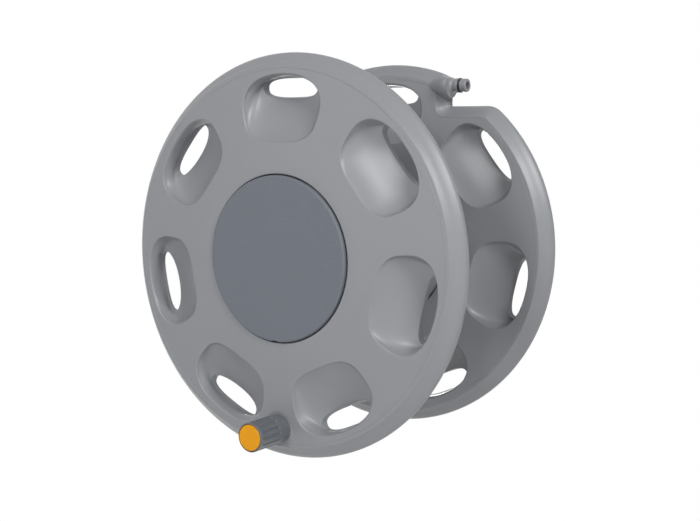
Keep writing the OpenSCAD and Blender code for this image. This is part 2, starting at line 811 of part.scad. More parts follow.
module swivel_manifold() {
    color("#55585c") axis_frame() difference() {
        union() {
            translate([0, 0, outlet_z - manifold_len / 2]) cylinder(r = manifold_r, h = manifold_len);
            translate([0, 0, outlet_z]) rotate([-90, 0, 0]) cylinder(r = socket_r, h = stub_top);
        }
        translate([0, 0, outlet_z - manifold_len]) cylinder(r = sleeve_bore, h = 2 * manifold_len);
        translate([0, 0, outlet_z - bore_r - 1]) cylinder(r = spindle_r + 2.4, h = 2 * bore_r + 2);
        translate([0, 0, outlet_z]) rotate([-90, 0, 0]) {
            cylinder(r = bore_r, h = stub_top + 1);
            translate([0, 0, link_low - seat]) cylinder(r = pipe_r + slack, h = stub_top);
        }
    }
}

module link_pipe() {
    color("#303235") axis_frame() translate([0, 0, outlet_z]) rotate([-90, 0, 0])
        tube(pipe_r, bore_r, link_low, link_top);
}

module at_outlet() {
    translate([outlet_body_r - 1, outlet_axis, outlet_z]) rotate([0, 90, 0]) children();
}

module outlet_elbow() {
    color("#55585c") axis_frame() difference() {
        union() {
            translate([0, pocket_floor, outlet_z]) rotate([-90, 0, 0])
                cylinder(r = outlet_body_r, h = outlet_top - pocket_floor);
            translate([0, outlet_axis, outlet_z]) rotate([0, 90, 0]) cylinder(r = ridge_r, h = outlet_body_r);
            at_outlet() quick_connect();
            at_outlet() quick_collar(ridge_r + 1);
        }
        translate([0, pocket_floor - 1, outlet_z]) rotate([-90, 0, 0])
            cylinder(r = pipe_r + slack, h = link_top + seat - pocket_floor + 1);
        translate([0, pocket_floor, outlet_z]) rotate([-90, 0, 0])
            cylinder(r = bore_r, h = outlet_axis - pocket_floor);
        translate([0, outlet_axis, outlet_z]) rotate([0, 90, 0])
            cylinder(r = bore_r, h = outlet_body_r + qc_len + over);
    }
}

module outlet_o_ring() {
    color("#151617") axis_frame() at_outlet() quick_ring();
}

module handle_pin() {
    color("#c9ccd0") axis_frame() at_knob() difference() {
        translate([0, 0, pin_back]) cylinder(r = pin_r, h = pin_top - pin_back);
        translate([0, 0, pin_top - 14]) cylinder(r = screw_r - 0.4, h = 15);
    }
}

module pin_washer() {
    color("#c9ccd0") axis_frame() at_knob()
        tube(counter_r - 1.2, screw_r + slack, pin_top, pin_top + washer_t);
}

module pin_screw() {
    color("#b8bbbf") axis_frame() at_knob() pan_screw(pin_top + washer_t, 12, screw_r - 0.4);
}

module winding_knob() {
    flute_low = knob_base + knob_len * 0.32;
    flute_high = knob_top - knob_len * 0.1;
    round_r = 1.2;
    color("#6a6d71") axis_frame() at_knob() difference() {
        rotate_extrude() polygon([
            [0, knob_base], [knob_r - 0.5, knob_base], [knob_r, knob_base + 0.5],
            [knob_r, knob_top - round_r],
            for (a = [30 : 30 : 90])
                [knob_r - round_r * (1 - cos(a)), knob_top - round_r * (1 - sin(a))],
            [0, knob_top]
        ]);
        translate([0, 0, knob_base - 1]) cylinder(r = pin_r + run_fit, h = knob_len);
        translate([0, 0, web_top]) cylinder(r = counter_r, h = knob_len);
        translate([0, 0, knob_top - end_recess]) cylinder(r = end_cap_r + slack, h = over);
        ring_of(flute_count, knob_r + flute_r * 0.25)
            translate([0, 0, flute_low]) cylinder(r = flute_r, h = flute_high - flute_low, $fn = 24);
    }
}

module knob_end_cap() {
    base = knob_top - end_recess;
    top = base + end_cap_t;
    color("#e8a023") axis_frame() at_knob() {
        rotate_extrude() polygon([
            [0, base], [end_cap_r, base], [end_cap_r, top - 0.8], [end_cap_r - 0.3, top - 0.3],
            [end_cap_r - 0.9, top], [0, top]
        ]);
        tube(counter_r - slack, counter_r - 2.4, base - 5, base + eps);
    }
}

wall_bracket();
rear_flange();
bracket_screws();
spindle();
spindle_screws();
spindle_seals();
feed_elbow();
feed_pipe();
inlet_nipple();
inlet_o_ring();
thrust_washer();
front_washer();
spring_clip();
front_flange();
drum_barrel();
bearing_webs();
outlet_tray();
drum_screws();
swivel_manifold();
link_pipe();
outlet_elbow();
outlet_o_ring();
centre_cap();
handle_pin();
pin_washer();
pin_screw();
winding_knob();
knob_end_cap();
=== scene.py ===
"""Looks of the wall mounted hose reel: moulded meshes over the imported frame, materials, light and camera."""
import json
import math

import bpy
import numpy as np
from mathutils import Matrix, Vector
from mathutils.geometry import delaunay_2d_cdt


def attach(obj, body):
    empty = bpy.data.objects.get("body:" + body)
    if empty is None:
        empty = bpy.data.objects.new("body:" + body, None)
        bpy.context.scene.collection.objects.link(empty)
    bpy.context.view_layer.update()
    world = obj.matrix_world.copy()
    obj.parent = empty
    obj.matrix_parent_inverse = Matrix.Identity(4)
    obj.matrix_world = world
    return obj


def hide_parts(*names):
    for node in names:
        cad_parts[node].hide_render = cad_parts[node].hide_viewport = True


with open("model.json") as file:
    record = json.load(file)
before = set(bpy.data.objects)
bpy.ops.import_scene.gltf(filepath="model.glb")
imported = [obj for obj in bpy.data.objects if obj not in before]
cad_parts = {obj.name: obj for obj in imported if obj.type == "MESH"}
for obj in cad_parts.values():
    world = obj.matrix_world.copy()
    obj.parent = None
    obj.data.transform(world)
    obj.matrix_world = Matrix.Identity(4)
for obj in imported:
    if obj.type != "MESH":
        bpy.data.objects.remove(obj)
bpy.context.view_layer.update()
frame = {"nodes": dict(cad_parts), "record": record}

MM = 0.001

# Camera: where the photograph was taken from, in the reel's frame, in millimetres and degrees
CAMERA_AT = (659.8, -1078.6, 116.3)
CAMERA_YAW = -34.155
CAMERA_PITCH = -6.242
CAMERA_ROLL = 0.716
LENS_MM = 55.27
SENSOR_MM = 36.0

# Flange sizes, in millimetres; places along the axis count from the wall
FLANGE_R = 205.0
FACE_H = 18.0
SHOULDER_H = 12.2
FLAT_R = 95.8
WALL = 2.8
REAR_FACE = 43.0
PITCH = 193.0
REAR_RIM = REAR_FACE - FACE_H
FRONT_FACE = REAR_FACE + PITCH
FRONT_RIM = FRONT_FACE - FACE_H

# Distances in from the rim: a corner on the slope, the shoulder, and where the cone and the underside begin
MID_D = 8.75
SHOULDER_D = 12.3
CONE_D = 13.6
UNDER_D = 16.0

# Dishes, each with a slot through its floor; the lip runs round a dish's opening in the face
DISHES = 7
DISH_OUT = FLANGE_R - 21.4
DISH_IN = DISH_OUT - 67.2
DISH_MID = DISH_OUT - 39.0
DISH_W = 91.2
DISH_SQUARE_OUT = 2.7
DISH_SQUARE_IN = 2.6
SLOT_LEN = 65.0
SLOT_W = 19.0
SLOT_MID = DISH_OUT - 3.4 - SLOT_W / 2
SLOT_SQUARE = 2.8
SLOT_LOW = -10.0
SLOT_EDGE = 3.2
SLOT_FLARE = 1.2
SLOT_RISE = 4.5
SLOT_BLEND = 0.3
SLOT_SOFT = 0.6
SLOT_EASE = 0.5
LIP = 0.8
LIP_MID = 0.2
STEP_IN = 0.4
STEP_DOWN = 1.0
LIP_UNDER = 0.8
LIP_UNDER_MID = 0.3

# Form of the bowl: its bulge, how much steeper its ends are, how much its rings are rounded, and how much
# closer they lie toward the top
BOWL = 0.06
BOWL_ENDS = 0.75
BOWL_END_POWER = 0.7
BOWL_ROUND = 0.6
BOWL_CROWD = 1.4

# Notch in the rear flange; NOTCH_SHOULDER_D is SHOULDER_D along the notch, past which the lines draw together
NOTCH_X = 77.5
NOTCH_Z = 158.0
CORNER_R = 1.5
CORNER_GROWTH = 0.85
NOTCH_SHOULDER_D = 11.9
NOTCH_DRAW = 0.22
TIP_SIZE = 9.0
TIP_SIZE_LEAST = 2.5
TIP_SHRINK = 0.55

# Knob, centre cap and its seat, hub of the rear flange
KNOB_AT = 173.6
KNOB_R = 14.8
KNOB_LEN = 46.0
KNOB_SEAT_R = 16.4
KNOB_SEAT_PROUD = 0.4
KNOB_GAP = 0.3
KNOB_BORE_R = 5.08
KNOB_WELL_R = 9.0
KNOB_WELL_DEEP = 13.0
FLUTES = 14
FLUTES_FROM = 0.32
FLUTES_TO = 0.9
END_CAP_R = 13.0
END_CAP_DEEP = 1.5
PIN_BOSS_R = 10.0
PIN_BOSS_BORE_R = 5.03
PIN_BOSS_LEN = 24.0
CAP_R = 83.8
CAP_SEAT_R = 85.1
CAP_SEAT_DEEP = 9.0
CAP_HOLE_R = 36.0
CAP_PROUD = 3.3
CAP_BEVEL = 2.2
HUB_R = 85.0
HUB_DEEP = 8.0
HUB_PAD_R = 32.0
HUB_PAD_H = 5.0
SPINDLE_HOLE_R = 14.15

# Inlet, which points across; INLET_Z is its height and INLET_OUT its place along the axis
BOSS_R = 14.0
BOSS_LEN = 22.0
BOSS_END = 81.0
INLET_Z = 180.0
INLET_OUT = 33.5
INLET_LIMIT = FLANGE_R - 0.4

# How finely the meshes are divided
DISH_POINTS = 128
LIP_STEPS = 5
FRONT_BOWL_STEPS = 24
BACK_BOWL_STEPS = 14
RIM_POINTS = 720
NOTCH_ARC_POINTS = 640
NOTCH_LEVEL_POINTS = 33
NOTCH_CORNER_POINTS = 15
NOTCH_UPRIGHT_POINTS = 24
TIP_REACH = 9
SLIVER = 1e-6


def face_at(r):
    """Height of the face over the rim: level out to FLAT_R, then a shallow cone down to the shoulder."""
    slope = (FACE_H - SHOULDER_H) / (FLANGE_R - SHOULDER_D - FLAT_R)
    return FACE_H - slope * np.maximum(0.0, np.asarray(r, float) - FLAT_R)


# Rim section: distance in from the rim and height over its widest circle, with the fillet at each corner
RIM_SECTION = [(CONE_D, float(face_at(FLANGE_R - CONE_D)), 0), (SHOULDER_D, SHOULDER_H, 1.8),
               (MID_D, 8.55, 3.0), (4.6, 5.3, 2.6), (1.4, 2.1, 1.6), (0.0, 0.0, 1.6), (0.0, -3.3, 1.2),
               (1.9, -6.0, 0)]

KNOB_SEAT = FRONT_RIM + float(face_at(KNOB_AT)) + KNOB_SEAT_PROUD
KNOB_BASE = KNOB_SEAT + KNOB_GAP
KNOB_TOP = KNOB_BASE + KNOB_LEN
KNOB_PLACE = (0, -KNOB_AT, 0)
INLET_PLACE = (BOSS_END, INLET_Z, INLET_OUT)
ACROSS = (1, 0, 0)


# Building meshes


def axis_to_world(points):
    """Points given as across, up and out from the wall, in millimetres, to the reel's frame in metres."""
    p = np.asarray(points, float)
    return np.stack([p[:, 0], -p[:, 2], p[:, 1]], 1) * MM


def circle(r, z, n=240):
    """A ring of n points round the axis."""
    t = np.linspace(0, 2 * np.pi, n, endpoint=False)
    return np.stack([r * np.cos(t), r * np.sin(t), np.full(n, z)], 1)


def inside(points, ring):
    """Which points lie inside a closed ring, by counting crossings."""
    x, y = points[:, 0][:, None], points[:, 1][:, None]
    x0, y0 = ring[:, 0][None], ring[:, 1][None]
    x1, y1 = np.roll(ring[:, 0], -1)[None], np.roll(ring[:, 1], -1)[None]
    cross = (y0 > y) != (y1 > y)
    at = x0 + (y - y0) * (x1 - x0) / np.where(y1 == y0, 1e-12, y1 - y0)
    return ((cross & (x < at)).sum(1) % 2) == 1


def between(points, outer, holes):
    """Which points lie inside the outer ring and outside all the holes."""
    keep = inside(points, outer)
    for hole in holes:
        keep &= ~inside(points, hole)
    return keep


def face_points():
    """Points on circles over the face's cone, so that a face filled between rings stays round."""
    start, end, step, pitch = FLAT_R - 3.0, FLANGE_R - 14, 5.0, 6
    circles = [circle(r, 0, int(2 * np.pi * r / pitch)) for r in np.arange(start, end, step)]
    return np.concatenate(circles)[:, :2]


def shade(obj, smooth_deg):
    """Smooth shading with sharp edges over an angle, and normals that follow the large faces."""
    mesh = obj.data
    mesh.polygons.foreach_set("use_smooth", [True] * len(mesh.polygons))
    mesh.set_sharp_from_angle(angle=math.radians(smooth_deg))
    weighted = obj.modifiers.new("normals", "WEIGHTED_NORMAL")
    weighted.keep_sharp = True
    weighted.weight = 80


class Builder:
    """Collects points and faces of one closed mesh; points are (across, up, out) in millimetres."""

    def __init__(self):
        self.points = []
        self.faces = []
        self.count = 0

    def add(self, points):
        """Adds points and gives their numbers."""
        points = np.asarray(points, float)
        first = self.count
        self.points.append(points)
        self.count += len(points)
        return np.arange(first, self.count)

    def strip(self, a, b, flip=False):
        """Quads between two closed rings of equal counts."""
        n = len(a)
        for i in range(n):
            j = (i + 1) % n
            quad = (int(a[i]), int(a[j]), int(b[j]), int(b[i]))
            self.faces.append(quad[::-1] if flip else quad)

    def join(self, rings, flip=False):
        """Strips from each ring of point numbers to the next."""
        for a, b in zip(rings, rings[1:]):
            self.strip(a, b, flip)

    def loft(self, rings):
        """Adds rings of points with strips between them, and gives their numbers."""
        ids = [self.add(r) for r in rings]
        self.join(ids)
        return ids

    def fill(self, outer, holes, drop, up=True):
        """Triangles on the face between rings of points that are already there, with more points between
        them. drop is how far the surface lies under the face."""
        clear = 2.2
        points = np.concatenate(self.points)
        ids = np.concatenate([outer] + holes)
        rim = points[outer][:, :2]
        gaps = [points[hole][:, :2] for hole in holes]
        extra = face_points()
        extra = extra[between(extra, rim, gaps)]
        near = ((extra[:, None] - points[ids][None, :, :2]) ** 2).sum(2).min(1)
        extra = extra[near > clear ** 2]
        height = face_at(np.linalg.norm(extra, axis=1)) - drop
        ids = np.concatenate([ids, self.add(np.column_stack([extra, height]))])
        points = np.concatenate(self.points)
        edges = []
        start = 0
        for ring in [outer] + holes:
            n = len(ring)
            edges += [(start + i, start + (i + 1) % n) for i in range(n)]
            start += n
        flat = [Vector(p) for p in points[ids][:, :2]]
        verts, _, tris, orig, _, _ = delaunay_2d_cdt(flat, edges, [], 0, SLIVER)
        centres = np.array([np.mean([verts[i] for i in t], axis=0) for t in tris])
        for tri, keep in zip(tris, between(centres, rim, gaps)):
            if keep:
                self.triangle([int(ids[orig[i][0]]) for i in tri], points, up)

    def triangle(self, face, points, up):
        """Adds a triangle so that it faces up or down, and leaves slivers out."""
        a, b, c = (points[i][:2] for i in face)
        turn = (b[0] - a[0]) * (c[1] - a[1]) - (b[1] - a[1]) * (c[0] - a[0])
        if abs(turn) >= SLIVER:
            self.faces.append(tuple(face if (turn > 0) == up else face[::-1]))

    def cap(self, ring, flip=False):
        """Closes a ring with a fan round its middle."""
        points = np.concatenate(self.points)
        middle = self.add([points[ring].mean(0)])[0]
        for i in range(len(ring)):
            face = (int(middle), int(ring[i]), int(ring[(i + 1) % len(ring)]))
            self.faces.append(face[::-1] if flip else face)

    def make(self, name, smooth_deg=32.0):
        """The finished object, with edges sharper than smooth_deg kept sharp."""
        mesh = bpy.data.meshes.new(name)
        world = axis_to_world(np.concatenate(self.points))
        mesh.from_pydata([tuple(p) for p in world], [], self.faces)
        mesh.validate()
        mesh.update()
        obj = bpy.data.objects.new(name, mesh)
        bpy.context.scene.collection.objects.link(obj)
        shade(obj, smooth_deg)
        return obj


def quadratic(a, b, c, s):
    """The point at s, from 0 to 1, of the quadratic curve from a towards b to c."""
    return (1 - s) ** 2 * a + 2 * s * (1 - s) * b + s * s * c


# Rim and notch of a flange


def rounded(corners, steps=6):
    """A line through corners, each turned with its own fillet length."""
    pts = np.array([(c[0], c[1]) for c in corners], float)
    most = 0.49
    out = [pts[0]]
    for k in range(1, len(pts) - 1):
        a, b, c = pts[k - 1], pts[k], pts[k + 1]
        reach = min(corners[k][2], most * np.linalg.norm(a - b), most * np.linalg.norm(c - b))
        p = b + (a - b) / np.linalg.norm(a - b) * reach
        q = b + (c - b) / np.linalg.norm(c - b) * reach
        out += [quadratic(p, b, q, s) for s in np.linspace(0, 1, steps)]
    out.append(pts[-1])
    return np.array(out)


def inset(line, w):
    """Points of a line moved in by w along their normals."""
    d = np.gradient(line, axis=0)
    d /= np.linalg.norm(d, axis=1)[:, None]
    return line + w * np.stack([-d[:, 1], d[:, 0]], 1)


def clear_of_dishes(line):
    """The underside's line, started just outside the dishes' walls."""
    k = int(np.argmax(line[:, 0] < UNDER_D))
    s = (line[k - 1, 0] - UNDER_D) / (line[k - 1, 0] - line[k, 0])
    return np.concatenate([[line[k - 1] + (line[k] - line[k - 1]) * s], line[k:]])


def circle_contour(d, z):
    """The front flange's outline moved in by d."""
    return circle(FLANGE_R - d, z, RIM_POINTS)


def notch_contour(d, z):
    """The rear flange's outline moved in by d: the rim's circle, the notch's two edges and its inner corner.
    Above the rim's bead the edge runs up to the cone of the face, and past it the lines draw together,
    because a dish comes close to the notch."""
    e = d
    if d > MID_D:
        e = MID_D + (d - MID_D) * (NOTCH_SHOULDER_D - MID_D) / (SHOULDER_D - MID_D)
    if d > SHOULDER_D:
        e = NOTCH_SHOULDER_D + (d - SHOULDER_D) * NOTCH_DRAW
    r = FLANGE_R - d
    x0, z0 = NOTCH_X - e, NOTCH_Z - e
    top = math.sqrt(r * r - x0 * x0)
    right = math.sqrt(r * r - z0 * z0)
    span = np.linspace(math.atan2(top, x0), math.atan2(z0, right) + 2 * np.pi, NOTCH_ARC_POINTS)
    around = np.stack([r * np.cos(span), r * np.sin(span)], 1)
    bend_r = CORNER_R + CORNER_GROWTH * e
    cx, cz = x0 + bend_r, z0 + bend_r
    along = np.linspace(right, cx, NOTCH_LEVEL_POINTS + 1)[1:]
    level = np.stack([along, np.full(NOTCH_LEVEL_POINTS, z0)], 1)
    turn = np.radians(np.linspace(270, 180, NOTCH_CORNER_POINTS + 1))
    bend = np.stack([cx + bend_r * np.cos(turn), cz + bend_r * np.sin(turn)], 1)[1:]
    rising = np.linspace(cz, top, NOTCH_UPRIGHT_POINTS + 2)[1:-1]
    upright = np.stack([np.full(NOTCH_UPRIGHT_POINTS, x0), rising], 1)
    ring = np.concatenate([around, level, bend, upright])
    for tip in (0, NOTCH_ARC_POINTS - 1):
        ring = soften(ring, tip, TIP_REACH, max(TIP_SIZE_LEAST, TIP_SIZE - TIP_SHRINK * d))
    reach = np.linalg.norm(ring, axis=1)
    weight = min(1.0, max(0.0, (d - MID_D) / (SHOULDER_D - MID_D)))
    return np.column_stack([ring, z + weight * (face_at(reach) - face_at(FLANGE_R - d))])


def soften(ring, corner, reach, size):
    """Rounds one corner of a closed ring of points with a quadratic curve of the given size. reach is how
    many points move on either side of it, and lead the share of them on each straight stretch."""
    lead = 0.25
    n = len(ring)
    a = ring[(corner - reach) % n]
    b = ring[corner]
    c = ring[(corner + reach) % n]
    out = ring.copy()
    p = b + (a - b) * min(1.0, size / max(np.linalg.norm(a - b), 1e-6))
    q = b + (c - b) * min(1.0, size / max(np.linalg.norm(c - b), 1e-6))
    for k in range(-reach, reach + 1):
        s = (k + reach) / (2 * reach)
        if s < lead:
            v = a + (p - a) * s / lead
        elif s > 1 - lead:
            v = q + (c - q) * (s - (1 - lead)) / lead
        else:
            v = quadratic(p, b, q, (s - lead) / (1 - 2 * lead))
        out[(corner + k) % n] = v
    return out


# Dishes: rings of one dish, drawn with x across it and y out from the axis


DISH_T = np.radians((np.arange(DISH_POINTS) + 0.5) * 360 / DISH_POINTS)


def power(v, n):
    """A cosine or sine for a rounded rectangle: the larger n is, the squarer it gets."""
    return np.sign(v) * np.abs(v) ** (2.0 / n)


def opening_ring(g):
    """The dish's opening in the face, made larger by g all round."""
    c, s = np.cos(DISH_T), np.sin(DISH_T)
    n = np.where(s > 0, DISH_SQUARE_OUT, DISH_SQUARE_IN)
    reach = np.where(s > 0, DISH_OUT - DISH_MID + g, DISH_MID - DISH_IN + g)
    r = DISH_MID + reach * power(s, n)
    a = (DISH_W / 2 + g) / DISH_MID * power(c, n)
    return np.stack([r * np.sin(a), r * np.cos(a)], 1)


def slot_ring(g):
    """The slot, made larger by g all round."""
    x = (SLOT_LEN / 2 + g) * power(np.cos(DISH_T), SLOT_SQUARE)
    y = SLOT_MID + (SLOT_W / 2 + g) * power(np.sin(DISH_T), SLOT_SQUARE)
    return np.stack([x, y], 1)


def at_height(ring, z):
    """A flat ring put at a height."""
    return np.concatenate([ring, np.full((len(ring), 1), z)], 1)


def on_face(ring, z=0.0):
    """A flat ring laid on the face, or z over it."""
    return np.column_stack([ring, face_at(np.linalg.norm(ring, axis=1)) + z])


def bowl(top, foot, steps):
    """Rings of a bowl's wall from its top ring down to its foot ring. It is steepest at the top, most of all
    at the two ends, and the rings between are rounder, so that the slot's corners draw no folds over it."""
    ends = BOWL_ENDS * np.cos(DISH_T) ** 2
    wave = np.fft.rfftfreq(len(DISH_T), 1 / len(DISH_T))[:, None]
    rings = []
    for s in np.linspace(0, 1, steps) ** BOWL_CROWD:
        ring = top + (foot - top) * s
        middle = s + BOWL * math.sin(math.pi * s)
        fall = (1 - ends) * middle + ends * (1 - (1 - s) ** 2) ** BOWL_END_POWER
        ring[:, 2] = top[:, 2] + (foot[:, 2] - top[:, 2]) * fall
        soft = BOWL_ROUND ** 2 * math.sin(math.pi * s) * np.maximum(0, wave ** 2 - 1)
        rings.append(np.fft.irfft(np.fft.rfft(ring, axis=0) * np.exp(-soft / 2), len(ring), axis=0))
    return rings


def dish_rings():
    """The inside of a dish: from the face over its lip, down its round floor and walls, through the slot."""
    start = on_face(opening_ring(LIP))
    edge = on_face(opening_ring(LIP_MID))
    step = on_face(opening_ring(-STEP_IN), -STEP_DOWN)
    foot = at_height(slot_ring(SLOT_FLARE), SLOT_LOW + SLOT_EDGE)
    foot[:, 2] += SLOT_RISE * (foot[:, 0] / (SLOT_LEN / 2)) ** 2
    wall = bowl(step, foot, FRONT_BOWL_STEPS)
    rings = [quadratic(start, edge, step, s) for s in np.linspace(0, 1, LIP_STEPS + 1)[:-1]]
    rings += wall[:-1]
    blend = (wall[-2] - foot) * SLOT_BLEND
    for s in np.linspace(0, 1, 4):
        rings.append(foot + blend * (1 - s) ** 2 - np.array([0, 0, SLOT_SOFT * s * s]))
    rings.append(at_height(slot_ring(0), SLOT_LOW + SLOT_EASE))
    rings.append(at_height(slot_ring(SLOT_EASE), SLOT_LOW))
    return rings


def dish_back_rings():
    """The outside of a dish's wall, from the slot's back edge up to the underside of the face."""
    edge = at_height(slot_ring(WALL - SLOT_EASE), SLOT_LOW)
    foot = at_height(slot_ring(WALL), SLOT_LOW + SLOT_EASE)
    top = on_face(opening_ring(WALL), -WALL * 1.5)
    under = [on_face(opening_ring(WALL + LIP_UNDER_MID), -WALL - LIP_UNDER_MID),
             on_face(opening_ring(WALL + LIP_UNDER), -WALL)]
    return [edge] + bowl(top, foot, BACK_BOWL_STEPS)[::-1] + under


def turned(ring, k):
    """A ring of the first dish, at the top, turned to dish k."""
    a = -k * 2 * np.pi / DISHES
    out = ring.copy()
    out[:, 0] = ring[:, 0] * math.cos(a) - ring[:, 1] * math.sin(a)
    out[:, 1] = ring[:, 0] * math.sin(a) + ring[:, 1] * math.cos(a)
    return out


# Flanges and their ribs


def seat_rings():
    """The knob's flat seat, from the face over its edge in to a ring on the flat."""
    rings = []
    for more, z in ((0.5, None), (0.0, -0.25), (-0.1, 0.0), (-1.0, 0.0)):
        ring = circle(KNOB_SEAT_R + more, 0, 96)
        ring[:, 1] -= KNOB_AT
        on_cone = face_at(np.linalg.norm(ring[:, :2], axis=1))
        ring[:, 2] = on_cone if z is None else KNOB_SEAT - FRONT_RIM + z
        rings.append(ring)
    return rings


def flange(name, contour, base, hub_top, hub_under, knob_seat=False):
    """A moulded flange as one closed skin. hub_top and hub_under are (radius, height) lines in to the
    middle, over and under it."""
    b = Builder()
    section = rounded(RIM_SECTION)
    under = clear_of_dishes(inset(section, WALL))
    outer = [b.add(contour(d, z)) for d, z in section]
    inner = [b.add(contour(d, z)) for d, z in under]
    b.join(outer, True)
    b.join(inner)
    b.strip(outer[-1], inner[-1], True)
    top_holes, under_holes = [], []
    for k in range(DISHES):
        front = b.loft([turned(r, k) for r in dish_rings()])
        back = b.loft([turned(r, k) for r in dish_back_rings()])
        b.strip(front[-1], back[0])
        top_holes.append(front[0])
        under_holes.append(back[-1])
    if knob_seat:
        seat = b.loft(seat_rings())
        b.cap(seat[-1])
        top_holes.append(seat[0])
    top = [b.add(circle(r, z)) for r, z in hub_top]
    low = [b.add(circle(r, z)) for r, z in hub_under]
    b.join(top)
    b.join(low, True)
    b.strip(top[-1], low[-1])
    b.fill(outer[0], top_holes + [top[0]], 0.0, True)
    b.fill(inner[0], under_holes + [low[0]], WALL, False)
    for points in b.points:
        points[:, 2] += base
    return b.make(name)


def front_flange():
    """The turning flange, with the centre cap's seat sunk into its middle and the knob's seat."""
    floor = FACE_H - CAP_SEAT_DEEP
    edge = [(1.0, 0.0), (0.4, 0.12), (0.1, 0.4), (0.0, 0.9)]
    top = [(CAP_SEAT_R + out, FACE_H - down) for out, down in edge]
    top += [(CAP_SEAT_R, floor), (CAP_HOLE_R, floor)]
    under = [(CAP_SEAT_R + WALL, FACE_H - WALL), (CAP_SEAT_R + WALL, floor - WALL),
             (CAP_HOLE_R, floor - WALL)]
    return flange("front_flange_skin", circle_contour, FRONT_RIM, top, under, knob_seat=True)


def rear_flange():
    """The fixed flange, with a sunk hub that has a raised pad round the spindle's hole."""
    floor = FACE_H - HUB_DEEP
    edge = [(1.0, 0.0), (0.3, 0.3), (0.0, 1.0)]
    top = [(HUB_R + out, FACE_H - down) for out, down in edge]
    top += [(HUB_R, floor), (HUB_PAD_R, floor), (HUB_PAD_R, floor + HUB_PAD_H),
            (SPINDLE_HOLE_R, floor + HUB_PAD_H)]
    under = [(HUB_R + WALL, FACE_H - WALL), (HUB_R + WALL, floor - WALL), (SPINDLE_HOLE_R, floor - WALL)]
    return flange("rear_flange_skin", notch_contour, REAR_RIM, top, under)


def ribs(name, first, base):
    """Stiffening ribs behind a flange, between its dishes, from the gap after dish first on."""
    b = Builder()
    far = FLANGE_R - SHOULDER_D - 4
    deep, half, ease = 8.4, 1.2, 0.4
    stations = []
    for r in np.linspace(HUB_R + 1.5, far, 12):
        stations.append((r, face_at(r) - WALL - deep, face_at(r) - WALL / 2))
    for k in range(first, DISHES):
        a = math.pi / 2 - (k + 0.5) * 2 * math.pi / DISHES
        c, s = math.cos(a), math.sin(a)
        rings = []
        for r, low, top in stations:
            cross = [(-half, top), (-half, low + ease), (-half + ease, low),
                     (half - ease, low), (half, low + ease), (half, top)]
            rings.append(b.add([(r * c - w * s, r * s + w * c, z + base) for w, z in cross]))
        b.join(rings)
        b.faces.append(tuple(int(i) for i in rings[0])[::-1])
        b.faces.append(tuple(int(i) for i in rings[-1]))
    return b.make(name, 40)


# Small turned and moulded pieces


def placed(points, at, out_dir, up_dir):
    """Points drawn along z, moved so that their z runs along out_dir from the place at. Places and directions
    are (across, up, out)."""
    w = np.asarray(out_dir, float)
    w /= np.linalg.norm(w)
    u = np.cross(up_dir, w)
    u /= np.linalg.norm(u)
    v = np.cross(w, u)
    p = np.asarray(points, float)
    return np.asarray(at, float) + p[:, :1] * u + p[:, 1:2] * v + p[:, 2:3] * w


def turned_piece(name, profile, at=(0, 0, 0), along=(0, 0, 1), n=96, radius=None, limit_to=None):
    """A revolved piece from a line of (radius, height) points. A line that ends on the axis is closed with
    fans, and one that does not is joined back to its start. radius(angle, r, h) may change the outline, and
    rings up to the height limit_to are kept within the rim."""
    b = Builder()
    angle = np.linspace(0, 2 * np.pi, n, endpoint=False)
    rings = []
    up = (0, 1, 0) if abs(along[1]) < 0.9 else (1, 0, 0)
    solid = profile[0][0] == 0
    line = [q for q in profile if q[0] > 0]
    for r, h in line:
        reach = np.full(n, float(r)) if radius is None else radius(angle, r, h)
        ring = np.stack([reach * np.cos(angle), reach * np.sin(angle), np.full(n, float(h))], 1)
        ring = placed(ring, at, along, up)
        if limit_to is not None and h < limit_to:
            far = np.linalg.norm(ring[:, :2], axis=1)
            ring[:, 1] *= np.minimum(1.0, INLET_LIMIT / far)
        rings.append(b.add(ring))
    b.join(rings)
    if solid:
        b.cap(rings[0], True)
        b.cap(rings[-1])
    else:
        b.strip(rings[-1], rings[0])
    return b.make(name)


def arc(cx, cy, r, a0, a1, n=6):
    """Points on an arc, angles in degrees from the radius direction."""
    return [(cx + r * math.cos(a), cy + r * math.sin(a)) for a in np.radians(np.linspace(a0, a1, n))]


